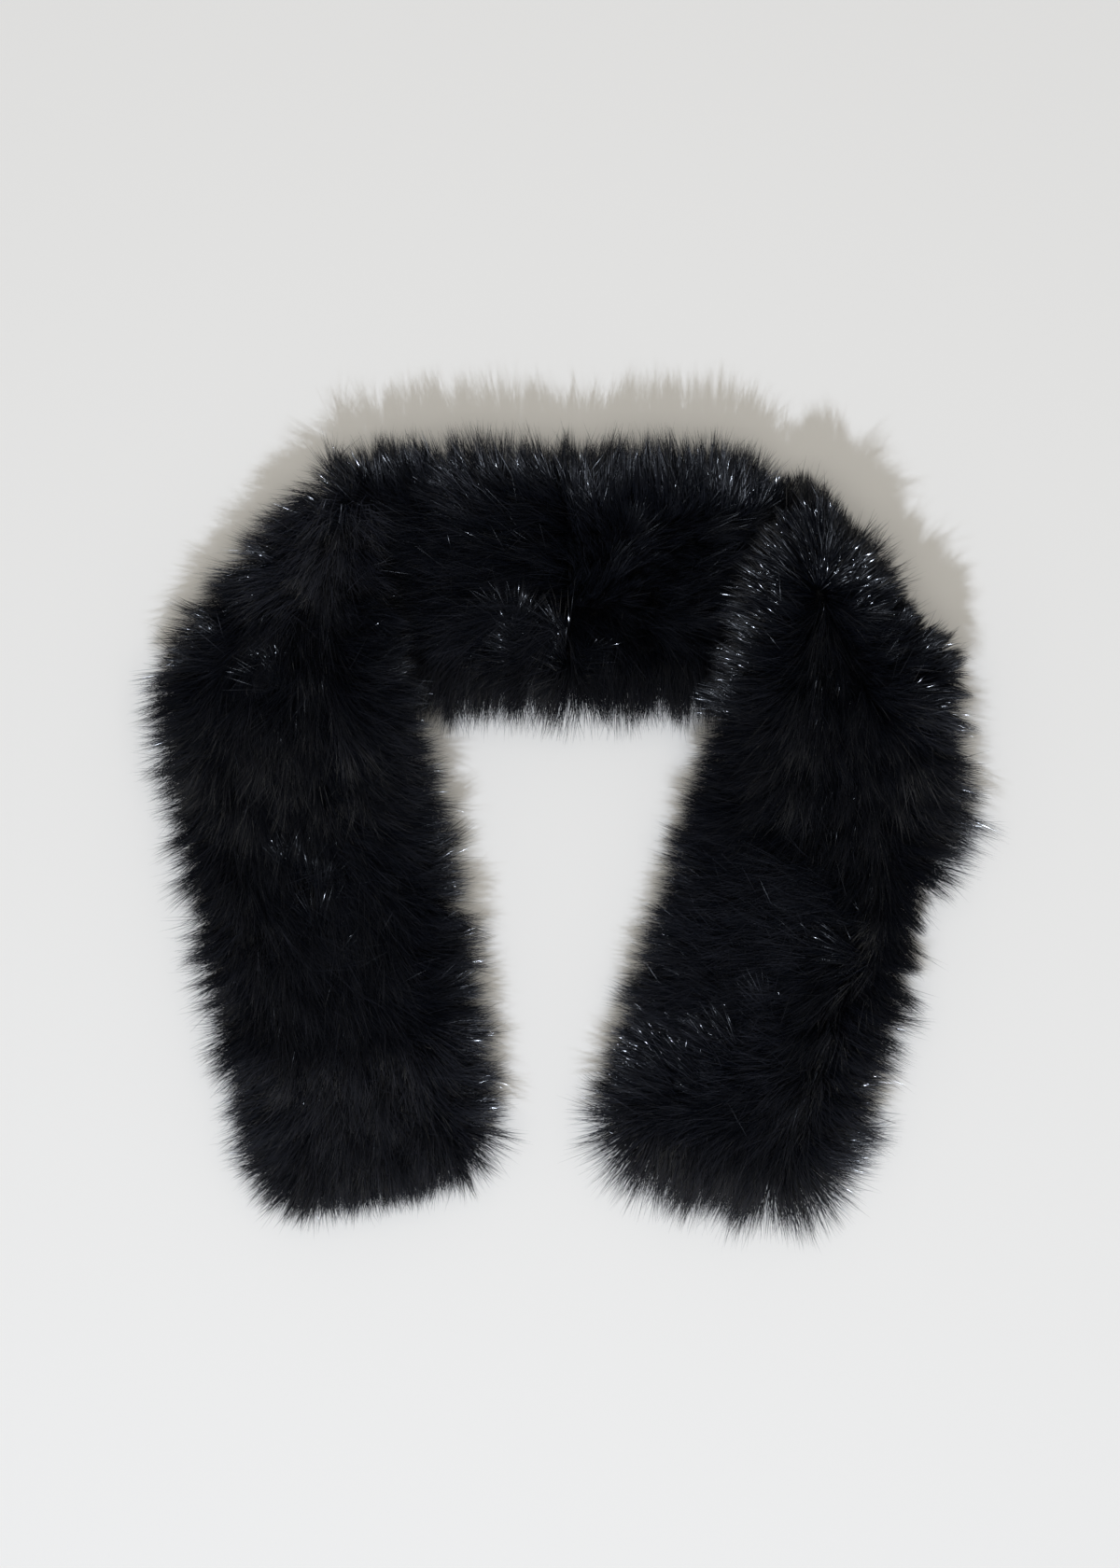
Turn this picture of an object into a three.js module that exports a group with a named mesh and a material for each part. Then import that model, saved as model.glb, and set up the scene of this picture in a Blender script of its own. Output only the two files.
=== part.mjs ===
// Fur collar wrap: a straight strip of long black fur, furred on both sides, lying in a horseshoe
// on a table. Two skins are sewn back to back, each in two halves that meet at the centre back.
// Each half turns over on itself at a slanted fold, so the fronts lie on top of the back.
// Millimetres, +Z up. X runs along the back, Y from the ends of the fronts to the back.
import * as THREE from "three";

// The strip as it was sewn
const HALF_LENGTH = 433; // centre-back seam to the end of the backing
const SEAM_GAP = 0.3; // clearance between neighbouring skins
const CORNER_RADIUS = 28; // rounding of the pile at the corners of an end

// Where the back lies on the table
const SEAM_X = 2;
const BACK_Y = 122;
const BACK_HALF_WIDTH = 67;

// Heights of the pile, each from the seam surface between the two skins
const MID_HEIGHT = 15; // the seam surface above the table
const FREE_PILE = 18; // pile that stands free on top
const TABLE_PILE = 17; // pile underneath, which the table flattens
const RIM_PILE = 1.5; // pile at the edges of the strip
const CREASE_REACH = 9; // how far a crease sinks the pile to each side

// How full the section is: the power of the curve from its crown to its edges
const TOP_POWER = 2.4;
const TABLE_POWER = 3.2;
const END_POWER = 2.4;

// The slanted fold
const LAYER_RISE = 20; // of the seam surface, from the back to a front that lies on it
const RISE_REACH = 50; // distance from the fold at which the layers are that far apart
const FOLD_CLEARANCE = 1.2; // between the two layers of pile inside the fold

// Where a front slopes from the back down to the table, from the back's lower edge
const SLOPE_START = -20;
const SLOPE_END = 58;

// How far the pile of the back rises beside the edge of the front that lies on it
const RISE_START = -10;
const RISE_END = 20;

// Steps of the surface
const BACK_STEPS = 11;
const FOLD_STEPS = 8;
const FRONT_STEPS = 20;
const END_STEPS = 5;
const ACROSS_STEPS = 12;
const PROBE = 0.05; // for slopes of the seam surface

// The two halves. foldAt is the fold's place along the middle of the strip, foldAngle the angle in
// degrees between the fold and the strip's edges, foldRadius the fold's radius at the seam surface,
// foldPile the pile past the fold, endPile the pile past the end of the backing. A front turns by
// a further drift, in degrees, between driftFrom and driftTo past the fold.
// Sections: at is the place along the middle, upper and lower are the half widths to the edges
// that lie up and low at the back. Creases: at, and how deep each sinks the pile.
const HALVES = [
  {
    side: "left",
    hand: -1,
    foldAt: 132.5,
    foldAngle: 49,
    foldRadius: 5,
    foldPile: 26,
    endPile: 16,
    drift: 3,
    driftFrom: 92,
    driftTo: 155,
    sections: [
      { at: 0, upper: 69, lower: 61 },
      { at: 10, upper: 67, lower: 66 },
      { at: 60, upper: 67, lower: 67 },
      { at: 112, upper: 67, lower: 67 },
      { at: 126, upper: 61, lower: 67 },
      { at: 160, upper: 58, lower: 67 },
      { at: 205, upper: 57, lower: 68 },
      { at: 235, upper: 66, lower: 68 },
      { at: 290, upper: 68, lower: 66 },
      { at: 340, upper: 66, lower: 67 },
      { at: 400, upper: 66, lower: 66 },
      { at: 449, upper: 65, lower: 65 },
    ],
    creases: [
      { at: 0, depth: 4 },
      { at: 376, depth: 3 },
    ],
  },
  {
    side: "right",
    hand: 1,
    foldAt: 129.5,
    foldAngle: 51,
    foldRadius: 8,
    foldPile: 16,
    endPile: 25,
    drift: 5.5,
    driftFrom: 90,
    driftTo: 155,
    sections: [
      { at: 0, upper: 69, lower: 61 },
      { at: 10, upper: 67, lower: 66 },
      { at: 60, upper: 67, lower: 68 },
      { at: 114, upper: 66, lower: 68 },
      { at: 127, upper: 56, lower: 67 },
      { at: 160, upper: 55, lower: 68 },
      { at: 200, upper: 63, lower: 75 },
      { at: 230, upper: 64, lower: 76 },
      { at: 258, upper: 64, lower: 72 },
      { at: 285, upper: 64, lower: 66 },
      { at: 340, upper: 65, lower: 67 },
      { at: 400, upper: 64, lower: 67 },
      { at: 458, upper: 64, lower: 66 },
    ],
    creases: [
      { at: 0, depth: 4 },
      { at: 300, depth: 3 },
    ],
  },
];

const { clamp, degToRad, lerp, smoothstep } = THREE.MathUtils;

// A smooth curve through one column of a table of sections
function columnCurve(rows, column) {
  const places = rows.map((row) => row.at);
  const values = rows.map((row) => row[column]);
  const curve = new THREE.CubicInterpolant(places, values, 1, [0]);
  return (at) => curve.evaluate(at)[0];
}

// Directions and curves that one half of the strip is laid by
function layOut(half) {
  const angle = degToRad(half.foldAngle);
  const sin = Math.sin(angle);
  const cos = Math.cos(angle);
  const foldPoint = new THREE.Vector2(SEAM_X + half.hand * half.foldAt, BACK_Y);
  const alongFold = new THREE.Vector2(half.hand * cos, -sin);
  const pastFold = new THREE.Vector2(half.hand * sin, cos);
  const frontAlong = alongFold.clone().multiplyScalar(cos).addScaledVector(pastFold, -sin);
  const frontAcross = alongFold.clone().multiplyScalar(-sin).addScaledVector(pastFold, -cos);
  const foldArc = Math.PI * half.foldRadius;
  const frontStart = foldPoint.clone().addScaledVector(pastFold, foldArc);
  return {
    ...half,
    sin,
    cos,
    foldArc,
    foldPoint,
    alongFold,
    pastFold,
    frontAlong,
    frontAcross,
    frontStart,
    foldEnd: half.foldAt + foldArc / sin,
    length: HALF_LENGTH + half.endPile,
    upper: columnCurve(half.sections, "upper"),
    lower: columnCurve(half.sections, "lower"),
  };
}

// Distance round the fold, on the strip: below 0 on the back, past foldArc on the front
function roundFold(lay, along, across) {
  return (along - lay.foldAt) * lay.sin + across * lay.cos;
}

// Room between the two layers beyond the fold's own diameter, which grows away from the fold
function layerLift(lay, round) {
  const away = Math.max(-round, round - lay.foldArc, 0);
  return (LAYER_RISE - 2 * lay.foldRadius) * smoothstep(away, 0, RISE_REACH);
}

// 1 where a front lies on the back, falling to 0 where it has come down to the table
function heldUp(y) {
  const pastBack = BACK_Y - BACK_HALF_WIDTH - y;
  return 1 - smoothstep(pastBack, SLOPE_START, SLOPE_END);
}

// Plan of a front past its fold: straight, then a gentle arc, then straight again
function frontPlan(lay, along, across) {
  const past = along - lay.foldAt;
  const reach = lay.driftTo - lay.driftFrom;
  const drift = degToRad(lay.drift);
  const bent = clamp(past - lay.driftFrom, 0, reach);
  const turn = (drift * bent) / reach;
  const radius = reach / drift;
  const straight = past - bent;
  const before = Math.min(straight, lay.driftFrom);
  const after = straight - before;
  const forward = before + radius * Math.sin(turn) + after * Math.cos(turn);
  const sideways = radius * (1 - Math.cos(turn)) + after * Math.sin(turn);
  return lay.frontStart
    .clone()
    .addScaledVector(lay.frontAlong, forward - across * Math.sin(turn))
    .addScaledVector(lay.frontAcross, sideways + across * Math.cos(turn));
}

// The seam surface between the two skins, from places along and across the strip
function seamSurface(lay, along, across) {
  const round = roundFold(lay, along, across);
  if (round <= 0) {
    return new THREE.Vector3(SEAM_X + lay.hand * along, BACK_Y + across, MID_HEIGHT);
  }
  const turn = Math.min(round / lay.foldRadius, Math.PI);
  const rise = lay.foldRadius * (1 - Math.cos(turn)) + layerLift(lay, round);
  const plan = frontPlan(lay, along, across);
  if (round < lay.foldArc) {
    const down = (along - lay.foldAt) * lay.cos - across * lay.sin;
    plan.copy(lay.foldPoint).addScaledVector(lay.alongFold, down);
    plan.addScaledVector(lay.pastFold, lay.foldRadius * Math.sin(turn));
  }
  return new THREE.Vector3(plan.x, plan.y, MID_HEIGHT + rise * heldUp(plan.y));
}

// Outward direction of the face skin: up on the back, inwards in the fold, down on the front
function faceNormal(lay, along, across) {
  const alongSlope = seamSurface(lay, along + PROBE, across).sub(seamSurface(lay, along - PROBE, across));
  const acrossSlope = seamSurface(lay, along, across + PROBE).sub(seamSurface(lay, along, across - PROBE));
  return alongSlope.cross(acrossSlope).multiplyScalar(lay.hand).normalize();
}

// Pile of the face skin: free on the back, pressed between the layers, flattened under the front
function facePile(lay, round, point) {
  const pressed = lay.foldRadius + layerLift(lay, round) / 2 - FOLD_CLEARANCE;
  if (round <= 0) {
    const plan = new THREE.Vector2(point.x, point.y).sub(lay.frontStart);
    const frontEdge = Math.max(lay.upper(lay.foldEnd), lay.upper(lay.foldAt + BACK_HALF_WIDTH));
    const pastFront = plan.dot(lay.frontAcross) - frontEdge;
    return lerp(pressed, FREE_PILE, smoothstep(pastFront, RISE_START, RISE_END));
  }
  const held = heldUp(point.y);
  return lerp(TABLE_PILE, pressed * held, smoothstep(held, 0, 1));
}

// Pile of the reverse skin: flattened under the back, spread round the fold, free on the front
function reversePile(lay, round) {
  const turn = clamp(round / lay.foldRadius, 0, Math.PI);
  const level = lerp(TABLE_PILE, FREE_PILE, turn / Math.PI);
  return lerp(level, lay.foldPile, Math.sin(turn));
}

// How full the pile is at a place across the strip, 1 at the crown and 0 at an edge
function fullness(part, power) {
  return Math.pow(Math.max(0, 1 - Math.pow(Math.abs(part), power)), 1 / power);
}

// How much the creases sink the pile at a place along the strip
function creaseDepth(lay, along) {
  return lay.creases.reduce((sum, crease) => {
    const away = (along - crease.at) / CREASE_REACH;
    return sum + crease.depth * Math.exp(-away * away);
  }, 0);
}

// Places along the middle of the strip where sections stand, closer in the fold and at the end
function stations(lay) {
  const endStart = lay.length - CORNER_RADIUS;
  const stretches = [
    { from: SEAM_GAP / 2, to: lay.foldAt, steps: BACK_STEPS },
    { from: lay.foldAt, to: lay.foldEnd, steps: FOLD_STEPS },
    { from: lay.foldEnd, to: endStart, steps: FRONT_STEPS },
  ];
  const places = stretches.flatMap(({ from, to, steps }) =>
    Array.from({ length: steps }, (_, i) => lerp(from, to, i / steps)),
  );
  for (let i = 0; i <= END_STEPS; i += 1) {
    places.push(endStart + CORNER_RADIUS * Math.sin((Math.PI / 2) * (i / END_STEPS)));
  }
  return places;
}

// How far the sections slant with the fold: 1 in it, 0 at the seam and well down the front
function slant(lay, middle) {
  const before = smoothstep(middle, 0, lay.foldAt);
  const after = 1 - smoothstep(middle, lay.foldEnd, 2 * lay.foldAt + lay.foldArc);
  return Math.min(before, after) * (lay.cos / lay.sin);
}

// One section of a skin: points across its pile side, and across its side at the seam surface
function section(lay, skin, middle) {
  const toEnd = (lay.length - middle) / CORNER_RADIUS;
  const corner = 1 - clamp(toEnd, 0, 1);
  const rounding = CORNER_RADIUS * (1 - Math.sqrt(1 - corner * corner));
  const skew = slant(lay, middle);
  const pileSide = [];
  const seamSide = [];
  for (let i = 0; i <= ACROSS_STEPS; i += 1) {
    const part = Math.sin(Math.PI * (i / ACROSS_STEPS - 0.5));
    const edge = part > 0 ? lay.upper(middle) : lay.lower(middle);
    const across = part * (edge - rounding);
    const along = middle - skew * across;
    const round = roundFold(lay, along, across);
    const point = seamSurface(lay, along, across);
    const outward = faceNormal(lay, along, across).multiplyScalar(skin.facing);
    const onTable = skin.facing > 0 ? round > 0 : round <= 0;
    const power = onTable ? TABLE_POWER : TOP_POWER;
    const full = fullness(part, power) * fullness(corner, END_POWER);
    const pile = skin.pile(lay, round, point) - creaseDepth(lay, along);
    const top = point.clone().addScaledVector(outward, Math.max(pile * full, RIM_PILE));
    top.z = Math.max(top.z, 0);
    pileSide.push(top);
    seamSide.push(point.addScaledVector(outward, SEAM_GAP / 2));
  }
  return [...pileSide, ...seamSide.reverse()];
}

// A closed body through rings of points, with its two end rings closed by strips across them
function loft(rings, flipped) {
  const count = rings[0].length;
  const positions = rings.flat().flatMap((point) => [point.x, point.y, point.z]);
  const faces = [];
  const addQuad = (a, b, c, d) => {
    faces.push(...(flipped ? [a, c, b, a, d, c] : [a, b, c, a, c, d]));
  };
  for (let ring = 0; ring < rings.length - 1; ring += 1) {
    for (let i = 0; i < count; i += 1) {
      const next = (i + 1) % count;
      const start = ring * count;
      addQuad(start + i, start + next, start + count + next, start + count + i);
    }
  }
  const last = (rings.length - 1) * count;
  for (let i = 0; i < count / 2 - 1; i += 1) {
    const far = count - 1 - i;
    addQuad(far, far - 1, i + 1, i);
    addQuad(last + i, last + i + 1, last + far - 1, last + far);
  }
  const geometry = new THREE.BufferGeometry();
  geometry.setAttribute("position", new THREE.Float32BufferAttribute(positions, 3));
  geometry.setIndex(faces);
  geometry.computeVertexNormals();
  return geometry;
}

// The skins of one half: the face, and the reverse that backs it
const SKINS = [
  { name: "face", facing: 1, pile: facePile },
  { name: "reverse", facing: -1, pile: reversePile },
];

const blackFur = new THREE.MeshStandardMaterial({
  name: "black_fur",
  color: 0x0b0b0e,
  roughness: 0.55,
  metalness: 0,
});

const wrap = new THREE.Group();
wrap.name = "fur_collar_wrap";

for (const half of HALVES) {
  const lay = layOut(half);
  for (const skin of SKINS) {
    const rings = stations(lay).map((middle) => section(lay, skin, middle));
    const mesh = new THREE.Mesh(loft(rings, half.hand * skin.facing > 0), blackFur);
    mesh.name = `${skin.name}_${half.side}`;
    wrap.add(mesh);
  }
}

export default wrap;
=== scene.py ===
# Fur collar wrap: a straight strip of long black fur, furred on both sides, laid flat in a horseshoe.
# Sizes are in millimetres and meshes are written in metres. +Z is up and the table is at zero.
import math
from types import SimpleNamespace

import bmesh
import bpy
import numpy as np
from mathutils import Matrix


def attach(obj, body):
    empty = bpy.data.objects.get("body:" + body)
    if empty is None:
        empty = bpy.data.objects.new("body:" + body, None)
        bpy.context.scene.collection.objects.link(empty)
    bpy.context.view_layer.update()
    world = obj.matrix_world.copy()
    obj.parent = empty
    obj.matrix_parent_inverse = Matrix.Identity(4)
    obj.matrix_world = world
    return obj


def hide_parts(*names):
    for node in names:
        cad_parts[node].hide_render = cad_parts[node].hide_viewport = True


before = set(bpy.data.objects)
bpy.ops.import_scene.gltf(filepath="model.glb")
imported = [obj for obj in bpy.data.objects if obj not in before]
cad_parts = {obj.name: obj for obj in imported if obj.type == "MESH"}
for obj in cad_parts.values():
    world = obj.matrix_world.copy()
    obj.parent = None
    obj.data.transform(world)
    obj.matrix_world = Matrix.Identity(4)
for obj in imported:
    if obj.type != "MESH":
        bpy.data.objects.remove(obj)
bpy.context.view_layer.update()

# The table
# A smooth board painted off-white, much larger than the picture. The wrap lies loose on it, so
# that the whole of its under side rests on the paint.
MM = 0.001
BOARD_HALF = 3000
PAINT_COLOUR = (0.835, 0.812, 0.77, 1)
PAINT_ROUGHNESS = 0.7
PAINT_GLOSS = 0.2


def new_object(name, mesh):
    piece = bpy.data.objects.new(name, mesh)
    bpy.context.scene.collection.objects.link(piece)
    return piece


def new_material(name, colour, roughness, gloss):
    material = bpy.data.materials.new(name)
    material.use_nodes = True
    shader = material.node_tree.nodes["Principled BSDF"]
    shader.inputs["Base Color"].default_value = colour
    shader.inputs["Roughness"].default_value = roughness
    shader.inputs["Specular IOR Level"].default_value = gloss
    return material, shader


board = bmesh.new()
bmesh.ops.create_grid(board, x_segments=1, y_segments=1, size=BOARD_HALF * MM)
board_mesh = bpy.data.meshes.new("table_board")
board.to_mesh(board_mesh)
board.free()
paint, _ = new_material("off_white_paint", PAINT_COLOUR, PAINT_ROUGHNESS, PAINT_GLOSS)
board_mesh.materials.append(paint)
table = new_object("table_board", board_mesh)

# The light
# One small studio lamp stands low in the picture, a little to the left, and throws the shadow of
# the fur upwards across the paint. A wide soft box overhead and the pale room fill that shadow.
LAMP_DISTANCE = 5000
LAMP_SIZE = 150
LAMP_POWER = 184
LAMP_COLOUR = (0.77, 0.85, 1.0)
LAMP_ELEVATION = 42
LAMP_SIDEWAYS = 7.8
SOFT_BOX_HEIGHT = 2400
SOFT_BOX_SIZE = 2200
SOFT_BOX_POWER = 27
ROOM_COLOUR = (1.0, 0.98, 0.935)
ROOM_STRENGTH = 0.2

lamp_data = bpy.data.lights.new("studio_lamp", "AREA")
lamp_data.shape = "DISK"
lamp_data.size = LAMP_SIZE * MM
lamp_data.energy = LAMP_POWER
lamp_data.color = LAMP_COLOUR
lamp = bpy.data.objects.new("studio_lamp", lamp_data)
elevation = math.radians(LAMP_ELEVATION)
sideways = math.radians(LAMP_SIDEWAYS)
lamp.rotation_euler = (math.pi / 2 - elevation, 0, -sideways)
lamp_reach = LAMP_DISTANCE * math.cos(elevation)
lamp.location = (
    -lamp_reach * math.sin(sideways) * MM,
    -lamp_reach * math.cos(sideways) * MM,
    LAMP_DISTANCE * math.sin(elevation) * MM,
)
bpy.context.scene.collection.objects.link(lamp)

soft_box_data = bpy.data.lights.new("soft_box", "AREA")
soft_box_data.shape = "SQUARE"
soft_box_data.size = SOFT_BOX_SIZE * MM
soft_box_data.energy = SOFT_BOX_POWER
soft_box_data.color = ROOM_COLOUR
soft_box = bpy.data.objects.new("soft_box", soft_box_data)
soft_box.location = (0, 0, SOFT_BOX_HEIGHT * MM)
bpy.context.scene.collection.objects.link(soft_box)

room = bpy.data.worlds.new("pale_room")
room.use_nodes = True
room.node_tree.nodes["Background"].inputs["Color"].default_value = (*ROOM_COLOUR, 1)
room.node_tree.nodes["Background"].inputs["Strength"].default_value = ROOM_STRENGTH
bpy.context.scene.world = room
bpy.context.scene.view_settings.view_transform = "Standard"

# The camera
# It hangs straight above the table, with the long side of the picture along the fronts. The height
# of the picture is measured in the plane half-way up the lower layer of fur.
PICTURE_HEIGHT = 756
PICTURE_CENTRE = (-2.8, 23.1)
PICTURE_PLANE = 15
LENS = 70
SENSOR = 36

camera_data = bpy.data.cameras.new("camera")
camera_data.lens = LENS
camera_data.sensor_width = SENSOR
camera = bpy.data.objects.new("camera", camera_data)
camera_height = PICTURE_PLANE + PICTURE_HEIGHT * LENS / SENSOR
camera.location = (PICTURE_CENTRE[0] * MM, PICTURE_CENTRE[1] * MM, camera_height * MM)
bpy.context.scene.collection.objects.link(camera)
bpy.context.scene.camera = camera

# The backing
# Two woven skins lie back to back and are sewn together all round, each cut in two halves that meet
# at the centre back. Each half turns over on itself at a slanted fold, so the fronts lie on the back.
HALF_LENGTH = 433
SKIN_HALF_WIDTH = 44
SKIN_CORNER = 14
SKIN_OFFSET = 0.6
SKIN_THICKNESS = 0.8
SKIN_ROWS = 72
SKIN_COLUMNS = 14
SKIN_COLOUR = (0.006, 0.006, 0.007, 1)
SKIN_ROUGHNESS = 0.9
SKIN_GLOSS = 0.1

SEAM_X = 2
BACK_Y = 122
BACK_HALF_WIDTH = 67
MID_HEIGHT = 15
LAYER_RISE = 20
RISE_REACH = 50
SLOPE_START = -20
SLOPE_END = 58
PROBE = 0.05
TINY = 1e-9


def smoothstep(value, low, high):
    part = np.clip((value - low) / (high - low), 0, 1)
    return part * part * (3 - 2 * part)


def lay_out(**half):
    """One half of the strip, with the directions that it is laid by."""
    lay = SimpleNamespace(**half)
    angle = math.radians(lay.fold_angle)
    lay.sin = math.sin(angle)
    lay.cos = math.cos(angle)
    lay.fold_arc = math.pi * lay.fold_radius
    lay.fold_end = lay.fold_at + lay.fold_arc / lay.sin
    lay.fold_point = np.array([SEAM_X + lay.hand * lay.fold_at, BACK_Y])
    lay.along_fold = np.array([lay.hand * lay.cos, -lay.sin])
    lay.past_fold = np.array([lay.hand * lay.sin, lay.cos])
    lay.front_along = lay.along_fold * lay.cos - lay.past_fold * lay.sin
    lay.front_across = -lay.along_fold * lay.sin - lay.past_fold * lay.cos
    lay.front_start = lay.fold_point + lay.past_fold * lay.fold_arc
    return lay


HALVES = [
    lay_out(
        side="left", hand=-1, fold_at=132.5, fold_angle=49, fold_radius=5,
        drift=3, drift_from=92, drift_to=155,
    ),
    lay_out(
        side="right", hand=1, fold_at=129.5, fold_angle=51, fold_radius=8,
        drift=5.5, drift_from=90, drift_to=155,
    ),
]


def round_fold(lay, along, across):
    """Distance round the fold, on the strip: below 0 on the back, past fold_arc on the front."""
    return (along - lay.fold_at) * lay.sin + across * lay.cos


def held_up(y):
    """1 where a front lies on the back, falling to 0 where it has come down to the table."""
    return 1 - smoothstep(BACK_Y - BACK_HALF_WIDTH - y, SLOPE_START, SLOPE_END)


def front_plan(lay, along, across):
    """Plan of a front past its fold: straight, then a gentle arc, then straight again."""
    past = along - lay.fold_at
    reach = lay.drift_to - lay.drift_from
    drift = math.radians(lay.drift)
    bent = np.clip(past - lay.drift_from, 0, reach)
    turn = drift * bent / reach
    radius = reach / drift
    before = np.minimum(past - bent, lay.drift_from)
    after = past - bent - before
    forward = before + radius * np.sin(turn) + after * np.cos(turn) - across * np.sin(turn)
    sideways = radius * (1 - np.cos(turn)) + after * np.sin(turn) + across * np.cos(turn)
    return lay.front_start + np.outer(forward, lay.front_along) + np.outer(sideways, lay.front_across)


def seam_surface(lay, along, across):
    """The surface between the two skins, from places along and across the strip."""
    rounding = round_fold(lay, along, across)
    turn = np.clip(rounding / lay.fold_radius, 0, math.pi)
    on_back = np.column_stack([SEAM_X + lay.hand * along, BACK_Y + across])
    down = (along - lay.fold_at) * lay.cos - across * lay.sin
    bulge = lay.fold_radius * np.sin(turn)
    in_fold = lay.fold_point + np.outer(down, lay.along_fold) + np.outer(bulge, lay.past_fold)
    plan = np.where((rounding <= 0)[:, None], on_back, in_fold)
    plan = np.where((rounding >= lay.fold_arc)[:, None], front_plan(lay, along, across), plan)
    room_between = LAYER_RISE - 2 * lay.fold_radius
    lift = room_between * smoothstep(rounding - lay.fold_arc, 0, RISE_REACH)
    rise = lay.fold_radius * (1 - np.cos(turn)) + lift
    return np.column_stack([plan, MID_HEIGHT + rise * held_up(plan[:, 1])])


def unit(vectors):
    return vectors / np.maximum(np.linalg.norm(vectors, axis=1, keepdims=True), TINY)


def seam_frame(lay, along, across):
    """Points of the seam surface, its directions along and across, and the way the face skin looks."""
    points = seam_surface(lay, along, across)
    slope_along = seam_surface(lay, along + PROBE, across) - seam_surface(lay, along - PROBE, across)
    slope_across = seam_surface(lay, along, across + PROBE) - seam_surface(lay, along, across - PROBE)
    normal = unit(lay.hand * np.cross(slope_along, slope_across))
    return points, unit(slope_along), unit(slope_across), normal


def slant(lay, middle):
    """How far a row across the strip slants with the fold: fully in it, not at the seam or the end."""
    before = smoothstep(middle, 0, lay.fold_at)
    after = 1 - smoothstep(middle, lay.fold_end, 2 * lay.fold_at + lay.fold_arc)
    return np.minimum(before, after) * lay.cos / lay.sin


skin_cloth, _ = new_material("woven_backing", SKIN_COLOUR, SKIN_ROUGHNESS, SKIN_GLOSS)


def make_skin(lay, name, facing):
    """One half of one skin, a grid laid over the seam surface and given the cloth's thickness."""
    grid = bmesh.new()
    bmesh.ops.create_grid(grid, x_segments=SKIN_ROWS, y_segments=SKIN_COLUMNS, size=1)
    places = np.array([vertex.co for vertex in grid.verts])
    middle = (places[:, 0] + 1) / 2 * HALF_LENGTH
    corner = 1 - np.clip((HALF_LENGTH - middle) / SKIN_CORNER, 0, 1)
    rounding = SKIN_CORNER * (1 - np.sqrt(1 - corner**2))
    across = places[:, 1] * (SKIN_HALF_WIDTH - rounding)
    along = middle - slant(lay, middle) * across
    points, _, _, normal = seam_frame(lay, along, across)
    for vertex, point in zip(grid.verts, (points + normal * facing * SKIN_OFFSET) * MM):
        vertex.co = point
    if lay.hand * facing < 0:
        bmesh.ops.reverse_faces(grid, faces=grid.faces)
    for face in grid.faces:
        face.smooth = True
    mesh = bpy.data.meshes.new(name)
    grid.to_mesh(mesh)
    grid.free()
    mesh.materials.append(skin_cloth)
    piece = new_object(name, mesh)
    thickness = piece.modifiers.new("cloth", "SOLIDIFY")
    thickness.thickness = SKIN_THICKNESS * MM
    thickness.offset = 0
    return piece


SKINS = [("face", 1), ("reverse", -1)]
skins = {}
for lay in HALVES:
    for skin, facing in SKINS:
        node = f"{skin}_{lay.side}"
        piece = make_skin(lay, f"backing_{node}", facing)
        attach(piece, "root")
        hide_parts(node)
        skins[node] = piece

# The fur on top of the back
# Long glossy synthetic fur, woven into the backing strand by strand. It is combed out from the
# centre-back seam to the two fronts, gathers in tufts, and hangs over the edges of the strip.

# A strand: its length and widths, how it bends, how high the pile stands, and the way it lies flat
STRAND_LENGTH = 33
STRAND_WIDTHS = (0.25, 0.42)
MIDDLE_TAPER = 0.75
ROOT_SPACING = 0.54
BEND = 22
PILE_HEIGHT = 18
LEAST_RISE = 0.3
TABLE_CLEARANCE = 0.4
FLAT_SIDE = (-0.06, -0.4, 0.91)
FLAT_ROLL = 15

# How strands differ from one to the next, with a few that stray
STRAND_TURN = 8
STRAND_SWELL = 7
STRAND_LENGTHS = (0.55, 0.95, 1.06)
STRAND_CURL = 5
STRAND_SHADE = 0.28
STRAY_SHARE = 0.07
STRAY_TURN = 30
STRAY_LENGTHS = (1.05, 1.22)
USUAL_STRETCH = 1.12
LONG_SHARE = 0.3

# Gatherings of strands, locks, tufts in them and points in those: size, spread of the heading, of the
# lift and of the length from one to the next, and how far they draw together inside and at the rim
GATHERINGS = [(9, 9, 7, 0.1, 0.25, 0.5), (3.4, 10, 8, 0.1, 0.5, 0.8), (1.4, 6, 5, 0.08, 0.7, 0.9)]
GATHERING_SHADE = 0.1
# Painted shade between the tufts: how much darker strands become towards a gathering's flanks
GATHERING_FLANK_SHADE = 0.2
LEAST_DRAW = 0.4
MIDDLE_DRAW = 0.35
SPARE_ROWS = 3

# The rim: how far in it reaches, and how its fur spreads, tilts and droops over the edge
RIM_REACH = 17
RIM_SPREAD = 0.75
SPREAD_POWER = 1.5
RIM_TILT = 0.6
ROOT_DROOP = 0.06
TIP_DROOP = 0.12
RIM_CALM = 0.5
RIM_EVENNESS = 0.35
USUAL_OVERHANG = 23.6
LEAST_SPARE = 0.03
MOST_SPARE = 1.8

# The comb, the whorls where its strokes meet, and the places that a hand has smoothed
COMB_REACH = 16
COMB_FALLOFF = 3
COMB_LEAD = 14
WHORL_TURN = 60
WHORL_LIFT = 14
SMOOTH_CALM = 0.15
SMOOTH_FLAT = 0.4
SMOOTH_ARCH = 20
SMOOTH_LEAD = 16
SMOOTH_GUARDS = 0.3
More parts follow.
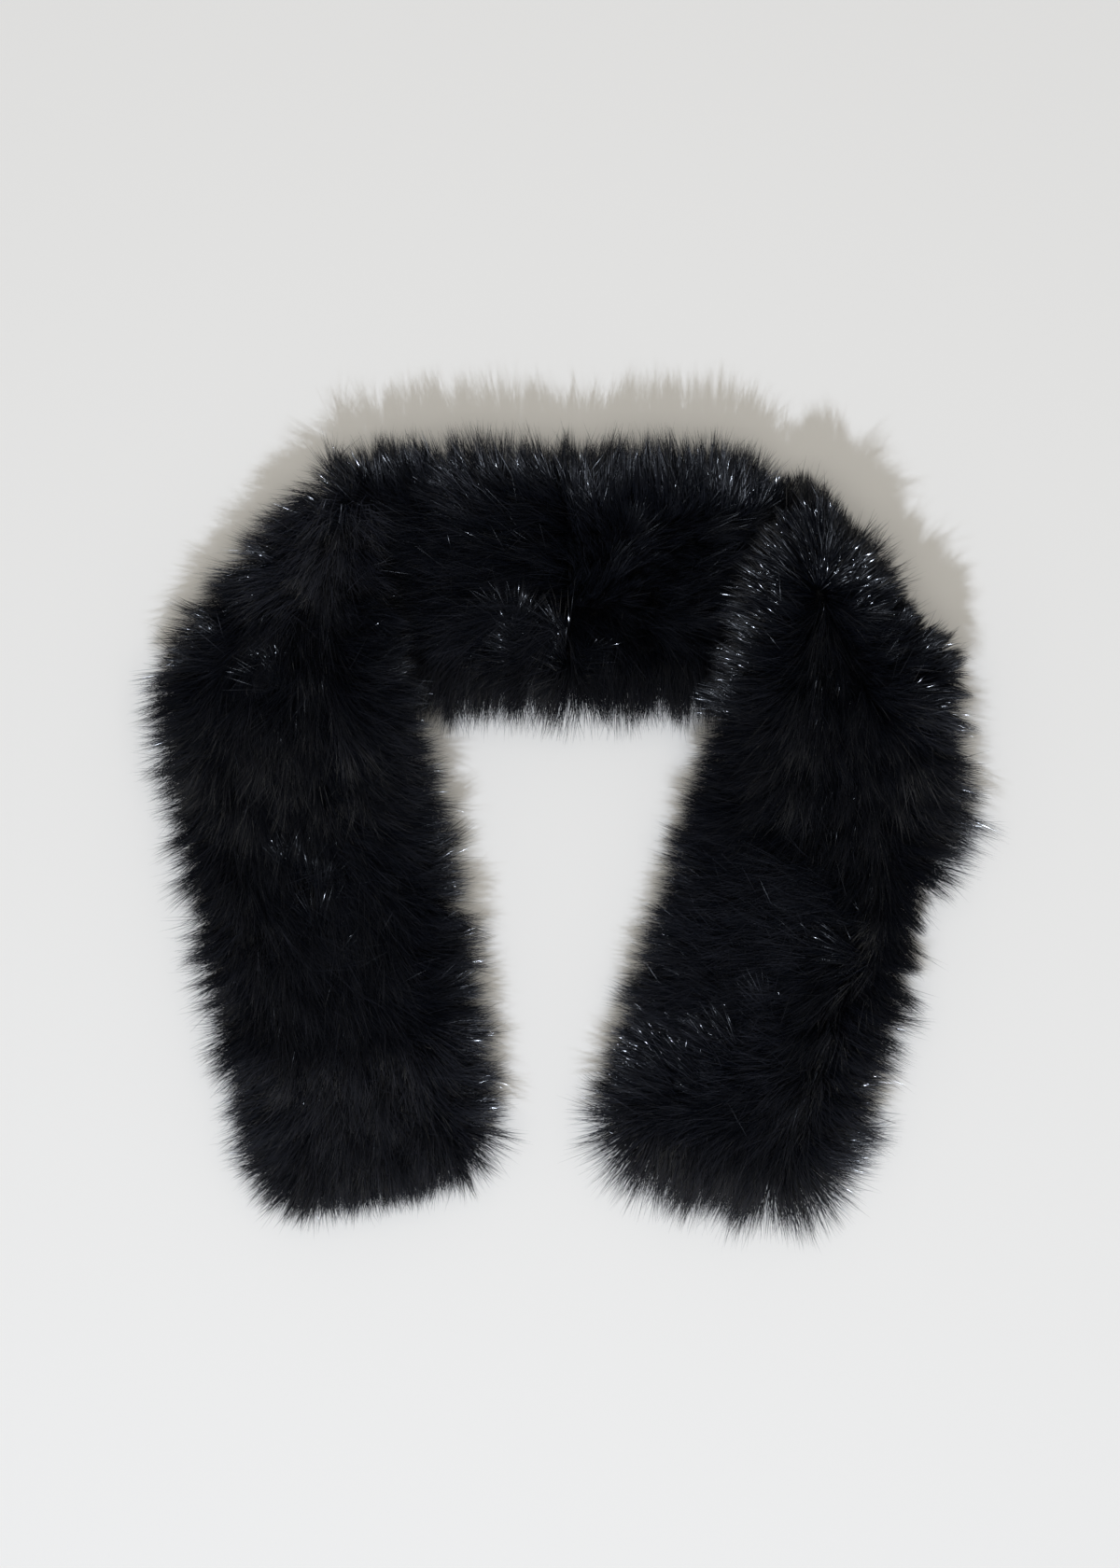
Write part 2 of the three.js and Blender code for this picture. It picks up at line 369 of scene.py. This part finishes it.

# Black fur with painted shade where it stands up and painted light where it lies flat, and glossy guard
# hairs among it
FUR_ROUGHNESS = 0.34
GUARD_ROUGHNESS = 0.13
FUR_GLOSS = 0.26
FUR_SHADED_DARK = (0.0042, 0.0048, 0.0072, 1)
FUR_LIT_PALE = (0.026, 0.0275, 0.0365, 1)
GUARD_COLOUR = (0.004, 0.005, 0.008, 1)
ROOT_SHADE = 0.3
GUARD_SHARE = 0.4
GUARD_TURN = 14
GUARD_SWELL = 8
UPRIGHT_GUARDS = 0.1
MOST_TINT = 0.8
LEAST_TINT = 0.02
GUARD_TINTS = (0.88, 0.97)
TINT_WIDTH = 0.01
# Painted light on fur that lies flat and painted shade on fur that stands up, set by its lift
LIT_TINT = 1.22
LIT_LIFT = 5
SHADED_LIFT = 53
UPRIGHT_LIFT = 68

# Edges of the pile: place along the middle, half widths to its upper and lower edges at the back
PILE_EDGES = {
    "left": [
        (0, 69, 67), (10, 66, 67), (60, 66, 69), (112, 62, 67), (126, 60, 66), (142, 67, 65),
        (160, 59, 67), (205, 57, 69), (235, 65, 67), (290, 72, 64), (340, 70, 66), (400, 67, 62),
        (449, 73, 61),
    ],
    "right": [
        (0, 69, 67), (10, 66, 67), (60, 66, 70), (112, 63, 68), (124, 47, 50), (160, 46, 45),
        (180, 56, 46), (200, 63, 66), (215, 63, 80), (235, 63, 86), (262, 63, 81), (280, 63, 63),
        (292, 62, 62), (305, 62, 66), (340, 61, 70), (400, 62, 76), (458, 67, 91),
    ],
}
SLANT_ROUNDS = 8
END_PILE = {"left": 14, "right": 37}
FOLD_PILE = {"left": 30, "right": 14}
FOLD_STAND = 75
FOLD_SLOPE = 30

# How far the fur at the upper end of a fold keeps to the fold, where it would fan round the corner
FOLD_CLOSE = {"left": 0.8, "right": 0}

# Creases: place along the strip, and how strongly each parts the fur above it from the fur below
CREASES = {"left": [(366, 1)], "right": [(200, 0.3), (282, 0.25)]}
CREASE_STAND = 24
CREASE_STAND_REACH = 10
CREASE_FLAT = 15
CREASE_FLAT_REACH = 24

# Partings: x, y, heading of the line in degrees, its half length, reach to each side, and push
PARTINGS = {
    "left": [
        (-92, 164, 100, 22, 9, 0.6), (-185, 78, 178, 30, 8, 0.9), (-119, -28, 276, 34, 5, 0.15),
        (2.5, 66, 270, 16, 6, 0.12), (-5, 174, 95, 14, 6, 0.4),
    ],
    "right": [
        (193, 58, -5, 22, 7, 0.5), (2.5, 66, 270, 16, 6, 0.12), (170, -50, -55, 16, 7, 0.4),
    ],
}
PARTING_ENDS = 4

# Locks: x, y and reach of the strands that come together, and x, y of the point that they make
LOCKS = {
    "left": [
        (1.7, 190, 5, 1.7, 201), (-108, 177, 6, -109, 184), (-90, 178, 6, -89, 186),
        (-119, 167, 8, -125, 180), (-129, 163, 6, -134, 171), (-186, 90, 6, -194, 87),
        (-188, 75, 6, -201, 75),
    ],
    "right": [
        (188, 66, 6, 199, 64), (190, 50, 8, 202, 46), (168, -45, 6, 175, -52), (166, -61, 6, 173, -69),
    ],
}
LOCK_DRAW = 0.7

# Places on the back smoothed flat by a hand: x, y, reach, heading in degrees, lift in degrees
BACK_SMOOTH = {
    "left": [
        (-50, 93, 8, 160, 16), (-33, 97, 8, 150, 18), (-20, 113, 7, 80, 33), (-5, 105, 8, 105, 32),
    ],
    "right": [
        (15, 100, 5, 60, 32),
    ],
}

# Strokes of the comb on the back: x, y, heading from +X in degrees, lift above the skin in degrees
BACK_STROKES = {
    "left": [
        (-57, 176, 108, 44), (-21, 180, 104, 44), (-3, 176, 98, 48), (-59, 160, 178, 36),
        (-79, 149, 185, 40), (-75, 113, 180, 40), (-39, 149, 176, 52), (-10, 150, 180, 60),
        (-12, 122, 180, 62), (-40, 122, 180, 54), (-88, 150, 180, 74), (-86, 110, 180, 74),
        (-88, 178, 84, 40), (-34, 100, 215, 42), (-55, 95, 205, 40), (-41, 82, 225, 40),
        (-21, 91, 238, 44), (-14, 66, 252, 42), (-3, 64, 256, 44), (-66, 61, 262, 42),
    ],
    "right": [
        (8, 176, 92, 56), (42, 176, 100, 62), (74, 176, 98, 60), (14, 149, 130, 76), (51, 131, 0, 74),
        (14, 122, 60, 78), (34, 140, 40, 74), (42, 95, 322, 68), (15, 95, 290, 66), (8, 64, 284, 46),
        (24, 61, 286, 46), (51, 61, 274, 46), (75, 110, 0, 68), (75, 140, 0, 70), (90, 170, 70, 50),
    ],
}


def scatter_roots(spacing, rng):
    """Jittered rows of roots all over one half of a skin, as places along and across it."""
    along, across = np.meshgrid(
        np.arange(spacing / 2, HALF_LENGTH, spacing),
        np.arange(spacing / 2 - SKIN_HALF_WIDTH, SKIN_HALF_WIDTH, spacing),
    )
    along = along.ravel() + rng.uniform(-spacing, spacing, along.size) / 2
    across = across.ravel() + rng.uniform(-spacing, spacing, across.size) / 2
    return along, across


def skin_rim(along, across):
    """How far inside the edge of the skin a place is, and the way out along and across the strip."""
    past_end = along - (HALF_LENGTH - SKIN_CORNER)
    past_side = np.abs(across) - (SKIN_HALF_WIDTH - SKIN_CORNER)
    in_corner = (past_end > 0) & (past_side > 0)
    reach = np.where(in_corner, np.hypot(past_end, past_side), np.maximum(past_end, past_side))
    safe_reach = np.where(in_corner, reach, 1)
    out_along = np.where(in_corner, past_end / safe_reach, past_end > past_side)
    out_across = np.where(in_corner, past_side / safe_reach, past_end <= past_side)
    return SKIN_CORNER - reach, out_along, out_across * np.sign(across)


def overhang(lay, along, across, out_along):
    """How far the pile reaches past the nearest edge of the skin."""
    middle = along.copy()
    for _ in range(SLANT_ROUNDS):
        middle = along + slant(lay, middle) * across
    places, upper, lower = np.array(PILE_EDGES[lay.side], float).T
    side = np.where(across > 0, np.interp(middle, places, upper), np.interp(middle, places, lower))
    return (side - SKIN_HALF_WIDTH) * (1 - out_along) + END_PILE[lay.side] * out_along


def nearest_gathering(along, across, size, rng):
    """The gathering of each root: its number, the way to its middle, and how many there are."""
    rows = int(HALF_LENGTH / size) + SPARE_ROWS
    columns = int(2 * SKIN_HALF_WIDTH / size) + SPARE_ROWS
    middle_along = (np.arange(rows)[:, None] + rng.uniform(-1, 0, (rows, columns))) * size
    middle_across = (np.arange(columns) + rng.uniform(-1, 0, (rows, columns))) * size - SKIN_HALF_WIDTH
    row = (along / size).astype(int) + 1
    column = ((across + SKIN_HALF_WIDTH) / size).astype(int) + 1
    number = np.zeros(along.size, int)
    off_along = np.full(along.size, np.inf)
    off_across = np.full(along.size, np.inf)
    for row_step in (-1, 0, 1):
        for column_step in (-1, 0, 1):
            near_row = np.clip(row + row_step, 0, rows - 1)
            near_column = np.clip(column + column_step, 0, columns - 1)
            new_along = middle_along[near_row, near_column] - along
            new_across = middle_across[near_row, near_column] - across
            closer = np.hypot(new_along, new_across) < np.hypot(off_along, off_across)
            number = np.where(closer, near_row * columns + near_column, number)
            off_along = np.where(closer, new_along, off_along)
            off_across = np.where(closer, new_across, off_across)
    return number, off_along, off_across, rows * columns


def headings(degrees):
    return np.column_stack([np.cos(np.radians(degrees)), np.sin(np.radians(degrees))])


def combed(strokes, plan):
    """Heading and lift of the fur at places in plan, the heading shorter where strokes disagree."""
    x, y, heading, lift = np.array(strokes, float).T
    apart = np.hypot(plan[:, :1] - x, plan[:, 1:] - y)
    weight = 1 / (1 + (apart / COMB_REACH) ** 2) ** COMB_FALLOFF
    weight = weight / weight.sum(axis=1, keepdims=True)
    return weight @ headings(heading), weight @ lift


def smoothed(places, plan, heading, lift):
    """Heading and lift where a hand has smoothed the fur, and how calm the fur has become there."""
    calm = np.zeros(len(plan))
    for x, y, reach, smooth_heading, smooth_lift in places:
        smooth = headings(smooth_heading)
        off = plan + SMOOTH_LEAD * smooth - (x, y)
        share = np.exp(-np.sum(off**2, axis=1) / reach**2)
        heading = heading * (1 - share)[:, None] + smooth * share[:, None]
        lift = lift * (1 - share) + smooth_lift * share
        calm = np.maximum(calm, share)
    return heading, lift, calm


def parted(side, plan, heading):
    """The heading, turned away from each parting on both sides of its line."""
    for x, y, line_heading, half_length, reach, push in PARTINGS[side]:
        line = headings(line_heading)[0]
        off = plan - (x, y)
        beside = off @ np.array([-line[1], line[0]])
        share = np.exp(-((beside / reach) ** 2) - (off @ line / half_length) ** PARTING_ENDS)
        away = np.outer(push * share * np.sign(beside), [-line[1], line[0]])
        heading = unit(heading) + away
    return unit(heading)


def crease_lift(lay, along):
    """Fur just above a crease stands up, and fur just below it lies flat."""
    change = np.zeros(along.size)
    for at, strength in CREASES[lay.side]:
        past = along - at
        stand = CREASE_STAND * np.exp(-np.abs(past) / CREASE_STAND_REACH)
        flat = CREASE_FLAT * np.exp(-np.abs(past) / CREASE_FLAT_REACH)
        change += strength * np.where(past < 0, stand, -flat)
    return change


def turned(vectors, axis, degrees):
    """Vectors that lie square to their axis, turned round it."""
    angle = np.radians(degrees)[:, None]
    return vectors * np.cos(angle) + np.cross(axis, vectors) * np.sin(angle)


def leaning(lean, rise_way, lift, droop):
    """The way that a stretch of each strand goes, lifted from its lean and drooping under its weight."""
    angle = np.radians(lift)[:, None]
    way = np.cos(angle) * lean + np.sin(angle) * rise_way
    way[:, 2] -= droop
    return unit(way)


def grow(lay, facing, along, across, strokes, smooth_places, press, reach, rng):
    """Strands from their roots: the root, middle and tip of each, its tone with painted shade and light,
    and its roll.
    """
    count = along.size
    points, e_along, e_across, face_normal = seam_frame(lay, along, across)
    normal = face_normal * facing
    inside, out_along, out_across = skin_rim(along, across)
    edge = 1 - smoothstep(inside, 0, RIM_REACH)
    outward = unit(e_along * out_along[:, None] + e_across * out_across[:, None])
    spare = overhang(lay, along, across, out_along) / USUAL_OVERHANG
    spare = np.clip(spare, LEAST_SPARE, MOST_SPARE)
    rounding = round_fold(lay, along, across)
    bulge = np.sin(np.clip(rounding / lay.fold_radius, 0, math.pi)) ** 2
    beyond = np.maximum(rounding - lay.fold_arc, 0) / FOLD_SLOPE
    pile = PILE_HEIGHT + min(FOLD_PILE[lay.side] - PILE_HEIGHT, 0) * np.exp(-(beyond**2))
    pile = pile + (FOLD_PILE[lay.side] - pile) * bulge
    ragged = np.maximum(edge, bulge)

    # The tips show, so the comb is read where they come to lie
    plan = points[:, :2]
    tips = plan + COMB_LEAD * unit(combed(strokes, plan)[0])
    heading, lift = combed(strokes, tips)
    loose = (1 - np.linalg.norm(heading, axis=1)) ** 2
    crease = crease_lift(lay, along)
    # Painted shade and light: upright fur, as above a crease, is coloured darker and flat fur paler
    tone_and_shade = np.interp(lift + crease, (LIT_LIFT, SHADED_LIFT), (LIT_TINT, LEAST_TINT))
    tone_and_shade += rng.normal(0, STRAND_SHADE, count)
    heading, lift, calm = smoothed(smooth_places, plan, unit(heading), lift)
    wild = 1 - SMOOTH_CALM * calm
    heading = parted(lay.side, plan, heading)
    lift = (lift + WHORL_LIFT * loose + crease) * press
    lift = lift + (FOLD_STAND - lift) * bulge * (1 - edge)
    guards = GUARD_SHARE * np.interp(lift, (SHADED_LIFT, UPRIGHT_LIFT), (1, UPRIGHT_GUARDS))
    guard = rng.random(count) < guards + SMOOTH_GUARDS * calm

    turn = rng.normal(0, np.where(guard, GUARD_TURN, STRAND_TURN)) * (1 - RIM_CALM * ragged)
    turn += rng.normal(0, WHORL_TURN, count) * loose
    swell = rng.normal(0, np.where(guard, GUARD_SWELL, STRAND_SWELL))
    stretch = rng.triangular(*STRAND_LENGTHS, count)
    drawn = np.zeros((count, 3))
    for size, turns, swells, stretches, inner_draw, rim_draw in GATHERINGS:
        number, off_along, off_across, total = nearest_gathering(along, across, size, rng)
        turn += rng.normal(0, turns, total)[number]
        swell += rng.normal(0, swells, total)[number]
        stretch *= rng.normal(1, stretches, total)[number]
        tone_and_shade += rng.normal(0, GATHERING_SHADE, total)[number]
        # Painted shade: strands towards the flanks of each gathering are darker, between the tufts
        tone_and_shade -= GATHERING_FLANK_SHADE * (off_along**2 + off_across**2) / size**2
        draw = rng.uniform(LEAST_DRAW, 1, total)[number] * (1 - calm)
        draw *= inner_draw + (rim_draw / np.maximum(spare, 1) - inner_draw) * ragged
        drawn += (e_along * off_along[:, None] + e_across * off_across[:, None]) * draw[:, None]
    stray = rng.random(count) < STRAY_SHARE
    turn += np.where(stray, rng.normal(0, STRAY_TURN, count), 0)
    stretch *= np.where(stray, rng.uniform(*STRAY_LENGTHS, count), 1)
    stretch = 1 + (stretch - 1) * (1 - RIM_EVENNESS * spare * ragged)
    stretch -= (1 - LONG_SHARE) * np.maximum(stretch - USUAL_STRETCH, 0)

    # Round the fold the comb runs into the skin, so the fur there stands straight out
    lean = np.column_stack([heading, np.zeros(count)])
    lean = lean - normal * np.sum(lean * normal, axis=1, keepdims=True)
    rim = edge * (1 - FOLD_CLOSE[lay.side] * bulge * (across > 0))
    spread = np.clip(RIM_SPREAD * rim * spare**SPREAD_POWER, 0, 1)[:, None]
    lean = turned(lean * (1 - spread) + outward * spread, normal, turn * wild)
    tip_lean = turned(lean, normal, rng.normal(0, STRAND_CURL, count))
    tilt = (RIM_TILT * rim * np.sqrt(spare))[:, None]
    rise_way = unit(normal * (1 - tilt) + outward * tilt)
    lift = lift + swell * wild
    root_way = leaning(lean, rise_way, lift + BEND + SMOOTH_ARCH * calm, ROOT_DROOP * edge)
    tip_way = leaning(tip_lean, rise_way, lift - BEND, TIP_DROOP * edge)

    rise = np.sum((root_way + tip_way) * normal, axis=1) / 2
    full = reach * STRAND_LENGTH * (1 + edge * (np.sqrt(spare) - 1))
    full = np.maximum(full, pile * bulge)
    settled = np.minimum(full, pile / np.maximum(rise, LEAST_RISE))
    half = (stretch * (settled + (full - settled) * edge) / 2)[:, None]
    root = points + normal * (SKIN_OFFSET + SKIN_THICKNESS / 2)
    middle = root + root_way * half
    tip = middle + tip_way * half
    tip = tip + drawn
    for x, y, size, point_x, point_y in LOCKS[lay.side]:
        share = LOCK_DRAW * np.exp(-(((tip[:, 0] - x) ** 2 + (tip[:, 1] - y) ** 2) / size**2))
        tip[:, :2] += share[:, None] * ((point_x, point_y) - tip[:, :2])
    line = np.stack([root, middle + drawn * MIDDLE_DRAW, tip], axis=1)
    line[:, :, 2] = np.maximum(line[:, :, 2], TABLE_CLEARANCE)

    tone_and_shade = np.where(guard, rng.uniform(*GUARD_TINTS, count), np.clip(tone_and_shade, LEAST_TINT, MOST_TINT))
    roll = rng.normal(0, FLAT_ROLL, count) * (1 - SMOOTH_FLAT * calm)
    return line, tone_and_shade, roll


def fur_mesh(name, line, tone_and_shade, roll, rng):
    """Strands as tapering ribbons, joined in one mesh, with their tone and painted shade, and their
    length, as a UV map.
    """
    count = len(line)
    way = line[:, 1:] - line[:, :1]
    level = np.cross(way, np.array(FLAT_SIDE))
    level = level / np.linalg.norm(level, axis=2, keepdims=True)
    upright = np.cross(level, way)
    upright = upright / np.linalg.norm(upright, axis=2, keepdims=True)
    roll = np.radians(roll)[:, None, None]
    half_width = rng.uniform(*STRAND_WIDTHS, count)[:, None, None] / 2
    taper = np.array([1, MIDDLE_TAPER])[None, :, None]
    width = (level * np.cos(roll) + upright * np.sin(roll)) * half_width * taper

    # Two corners at the root, two at the middle and one at the tip
    corners = np.empty((count, 5, 3))
    corners[:, 0:4:2] = line[:, :2] - width
    corners[:, 1:4:2] = line[:, :2] + width
    corners[:, 4] = line[:, 2]

    # One four-sided face and the three-sided tip of each strand
    ribbon = np.array([0, 1, 3, 2, 2, 3, 4])
    face_starts = np.array([0, 4])
    side = np.array([-1, 1, 1, -1, -1, 1, 0])
    height = np.array([0, 0, 1, 1, 1, 1, 2]) / 2
    numbers = np.arange(count)[:, None]

    mesh = bpy.data.meshes.new(name)
    mesh.vertices.add(corners.shape[0] * corners.shape[1])
    mesh.vertices.foreach_set("co", (corners * MM).astype(np.float32).ravel())
    mesh.loops.add(count * ribbon.size)
    mesh.polygons.add(count * face_starts.size)
    mesh.polygons.foreach_set("loop_start", (numbers * ribbon.size + face_starts).ravel())
    mesh.polygons.foreach_set("vertices", (numbers * corners.shape[1] + ribbon).ravel())
    mesh.polygons.foreach_set("use_smooth", np.ones(count * face_starts.size, bool))
    mesh.update(calc_edges=True)
    across = tone_and_shade[:, None] + side * TINT_WIDTH
    chart = np.stack([across, np.broadcast_to(height, across.shape)], axis=2)
    layer = mesh.uv_layers.new(name="OFBake")
    layer.data.foreach_set("uv", chart.astype(np.float32).ravel())
    return mesh


def fur_material():
    """Black fur, darker towards the roots, with painted shade and light by its lift and glossier guard
    hairs.
    """
    material, shader = new_material("black_fur", FUR_SHADED_DARK, FUR_ROUGHNESS, FUR_GLOSS)
    nodes = material.node_tree.nodes
    links = material.node_tree.links
    chart = nodes.new("ShaderNodeUVMap")
    chart.uv_map = "OFBake"
    split = nodes.new("ShaderNodeSeparateXYZ")
    links.new(chart.outputs["UV"], split.inputs["Vector"])
    # The ramp goes from painted shade through painted light to the guard hairs' own colour
    ramp = nodes.new("ShaderNodeValToRGB")
    ramp.color_ramp.elements[0].color = FUR_SHADED_DARK
    pale = ramp.color_ramp.elements.new(MOST_TINT + TINT_WIDTH)
    pale.color = FUR_LIT_PALE
    guard = ramp.color_ramp.elements[-1]
    guard.position = GUARD_TINTS[0] - TINT_WIDTH
    guard.color = GUARD_COLOUR
    links.new(split.outputs["X"], ramp.inputs["Fac"])
    depth = nodes.new("ShaderNodeMapRange")
    depth.inputs["To Min"].default_value = ROOT_SHADE
    links.new(split.outputs["Y"], depth.inputs["Value"])
    shaded = nodes.new("ShaderNodeVectorMath")
    shaded.operation = "SCALE"
    links.new(ramp.outputs["Color"], shaded.inputs["Vector"])
    links.new(depth.outputs["Result"], shaded.inputs["Scale"])
    links.new(shaded.outputs["Vector"], shader.inputs["Base Color"])
    polish = nodes.new("ShaderNodeMapRange")
    polish.inputs["From Min"].default_value = MOST_TINT + TINT_WIDTH
    polish.inputs["From Max"].default_value = GUARD_TINTS[0] - TINT_WIDTH
    polish.inputs["To Min"].default_value = FUR_ROUGHNESS
    polish.inputs["To Max"].default_value = GUARD_ROUGHNESS
    links.new(split.outputs["X"], polish.inputs["Value"])
    links.new(polish.outputs["Result"], shader.inputs["Roughness"])
    return material


black_fur = fur_material()
fur_of = {node: [] for node in skins}


def add_fur(name, node, line, tone_and_shade, roll, rng):
    """One stretch of fur as a piece of its own, which goes with its skin."""
    mesh = fur_mesh(name, line, tone_and_shade, roll, rng)
    mesh.materials.append(black_fur)
    piece = new_object(name, mesh)
    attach(piece, "root")
    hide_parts(node)
    fur_of[node].append(piece)


def past_front(lay, along, across):
    """Distance on the back from the inner edge of the front's pile, above 0 where the back is free."""
    plan = seam_surface(lay, along, across)[:, :2] - lay.front_start
    places, upper, _ = np.array(PILE_EDGES[lay.side], float).T
    near = np.interp(lay.fold_end, places, upper)
    far = np.interp(lay.fold_at + BACK_HALF_WIDTH, places, upper)
    return plan @ lay.front_across - max(near, far)


# The fur of the back goes on a little way under each front, which presses it flat there
UNDER_FRONT = -22
FREE_FRONT = -6
LEAST_PRESS = 0.35
BACK_SEED = 100
for number, lay in enumerate(HALVES):
    rng = np.random.default_rng(BACK_SEED + number)
    along, across = scatter_roots(ROOT_SPACING, rng)
    free = past_front(lay, along, across)
    shown = (round_fold(lay, along, across) <= 0) & (free > UNDER_FRONT)
    press = LEAST_PRESS + (1 - LEAST_PRESS) * smoothstep(free[shown], UNDER_FRONT, FREE_FRONT)
    strokes, smooth_places = BACK_STROKES[lay.side], BACK_SMOOTH[lay.side]
    strands = grow(lay, 1, along[shown], across[shown], strokes, smooth_places, press, 1, rng)
    add_fur(f"fur_back_{lay.side}", f"face_{lay.side}", *strands, rng)

# The fur on top of the fronts
# The same fur on the reverse skin, which the fold brings uppermost. It fans out round each fold
# and is combed down the fronts to their ends.

# Strokes of the comb and smoothed places, in the same order of values as on the back
FRONT_STROKES = {
    "left": [
        (-129, 118, 230, 8), (-138, 106, 225, 10), (-113, 114, 266, 12), (-99, 114, 280, 19),
        (-95, 95, 290, 36), (-99, 82, 325, 46), (-84, 77, 340, 48), (-111, 176, 122, 19),
        (-128, 165, 145, 10), (-149, 143, 156, 14), (-118, 143, 215, 5), (-136, 135, 203, 8),
        (-170, 114, 160, 38), (-186, 96, 150, 34), (-190, 74, 186, 34), (-104, 147, 262, 11),
        (-100, 133, 275, 11), (-93, 165, 122, 36), (-165, 86, 215, 50), (-151, 91, 250, 50),
        (-142, 73, 268, 52), (-115, 77, 280, 50), (-174, 59, 235, 50), (-135, 50, 262, 52),
        (-128, 22, 270, 58), (-105, 30, 283, 52), (-88, 20, 305, 46), (-160, 12, 262, 56),
        (-75, 41, 325, 40), (-64, 42, 340, 38), (-63, 12, 352, 38), (-88, -12, 322, 42),
        (-76, -23, 320, 40), (-183, 19, 235, 46), (-158, -16, 280, 50), (-138, -4, 275, 48),
        (-149, -34, 285, 44), (-132, -42, 308, 42), (-111, -31, 298, 44), (-102, -53, 290, 42),
        (-169, -44, 245, 42), (-134, -82, 287, 40), (-123, -90, 298, 40), (-106, -90, 290, 40),
        (-75, -71, 310, 42), (-52, -83, 5, 38), (-165, -90, 250, 38), (-90, -124, 272, 26),
        (-70, -116, 290, 26), (-48, -125, 320, 28), (-139, -128, 238, 28), (-134, -142, 228, 28),
        (-106, -155, 258, 28), (-75, -157, 275, 28), (-156, -112, 235, 34),
    ],
    "right": [
        (99, 145, 130, 52), (109, 160, 98, 58), (125, 159, 73, 58), (141, 135, 48, 52),
        (147, 127, 38, 50), (150, 106, 12, 54), (163, 109, 28, 52), (176, 98, 40, 62),
        (186, 77, 18, 66), (188, 60, -12, 36), (195, 50, -27, 34), (135, 101, -17, 44),
        (83, 149, 150, 36), (83, 131, 165, 35), (80, 113, 178, 35), (76, 91, 178, 35),
        (69, 68, 165, 36), (101, 118, 165, 46), (96, 91, 190, 46), (117, 100, 270, 66),
        (117, 130, 92, 66), (119, 86, 265, 62), (91, 47, 228, 56), (111, 43, 247, 60),
        (134, 31, 280, 64), (139, 18, 277, 63), (155, 20, 282, 60), (191, 19, -10, 44),
        (129, 5, 260, 62), (155, -10, 250, 54), (190, -10, -25, 38), (59, 5, 176, 40),
        (83, 10, 200, 52), (70, -49, 180, 34), (84, -55, 180, 34), (110, -49, 190, 36),
        (143, -49, 228, 58), (131, -75, 212, 50), (150, -72, 258, 60), (163, -44, 285, 52),
        (174, -43, -62, 38), (170, -64, -60, 40), (56, -105, 155, 26), (42, -98, 165, 30),
        (83, -99, 175, 32), (117, -106, 212, 44), (145, -107, 255, 45), (104, -143, 225, 32),
        (91, -156, 240, 32), (61, -161, 240, 32), (115, -161, 258, 30), (152, -150, 290, 28),
        (128, -165, 275, 28), (168, -100, 300, 42), (33, -134, 190, 34), (74, -134, 195, 36),
        (42, -71, 185, 38),
    ],
}
FRONT_SMOOTH = {
    "left": [
        (-142, 88, 8, 120, 43), (-136, -4, 7, 112, 43), (-119, -14, 4, 95, 38), (-118, -30, 4, 95, 37),
        (-116, -46, 4, 95, 37), (-150, 135, 10, 155, 32), (-178, 100, 9, 160, 30),
    ],
    "right": [
        (84, 153, 11, 140, 18), (92, 138, 12, 145, 15), (96, 122, 12, 150, 12), (91, 105, 12, 150, 11),
        (87, 88, 12, 148, 11), (77, 69, 12, 150, 12), (143, 136, 7, 42, 28), (150, 127, 7, 38, 27),
        (138, 128, 6, 35, 26), (148, 106, 6, 15, 20), (120, -37, 11, 170, 11), (118, -55, 8, 170, 11),
        (40, -101, 16, 148, 19), (57, -108, 15, 148, 18), (70, -100, 11, 150, 16),
    ],
}

# The distance round the fold that this fur starts at, and the place where its lower stretch starts
FRONT_FROM = -25
LOWER_FRONT = 270
FRONT_SEED = 200
for number, lay in enumerate(HALVES):
    rng = np.random.default_rng(FRONT_SEED + number)
    along, across = scatter_roots(ROOT_SPACING, rng)
    inside, _, _ = skin_rim(along, across)
    shown = (round_fold(lay, along, across) > FRONT_FROM) & (inside > 0)
    along, across = along[shown], across[shown]
    strokes, smooth_places = FRONT_STROKES[lay.side], FRONT_SMOOTH[lay.side]
    strands = grow(lay, -1, along, across, strokes, smooth_places, 1, 1, rng)
    lower = along > LOWER_FRONT
    for stretch, chosen in (("fold", ~lower), ("front", lower)):
        part = [values[chosen] for values in strands]
        add_fur(f"fur_{stretch}_{lay.side}", f"reverse_{lay.side}", *part, rng)

# The fur underneath
# The table and the layers press this fur flat, so only its outer rows show, round the edges. It is
# the same fur as on top, on the sides of the two skins that lie downwards.
UNDER_SPACING = 0.75
UNDER_RIM = 15
UNDER_PRESS = 0.5
UNDER_REACH = 0.85
UNDER_SEEDS = {"face_left": 301, "reverse_left": 299, "face_right": 311, "reverse_right": 309}
for lay in HALVES:
    for skin, facing in SKINS:
        node = f"{skin}_{lay.side}"
        rng = np.random.default_rng(UNDER_SEEDS[node])
        along, across = scatter_roots(UNDER_SPACING, rng)
        inside, _, _ = skin_rim(along, across)
        rounding = round_fold(lay, along, across)
        beneath = rounding > lay.fold_arc if facing > 0 else rounding < FRONT_FROM
        shown = beneath & (inside > 0) & (inside < UNDER_RIM)
        strokes = BACK_STROKES[lay.side] if facing < 0 else FRONT_STROKES[lay.side]
        along, across = along[shown], across[shown]
        strands = grow(lay, facing, along, across, strokes, [], UNDER_PRESS, UNDER_REACH, rng)
        add_fur(f"fur_under_{node}", node, *strands, rng)
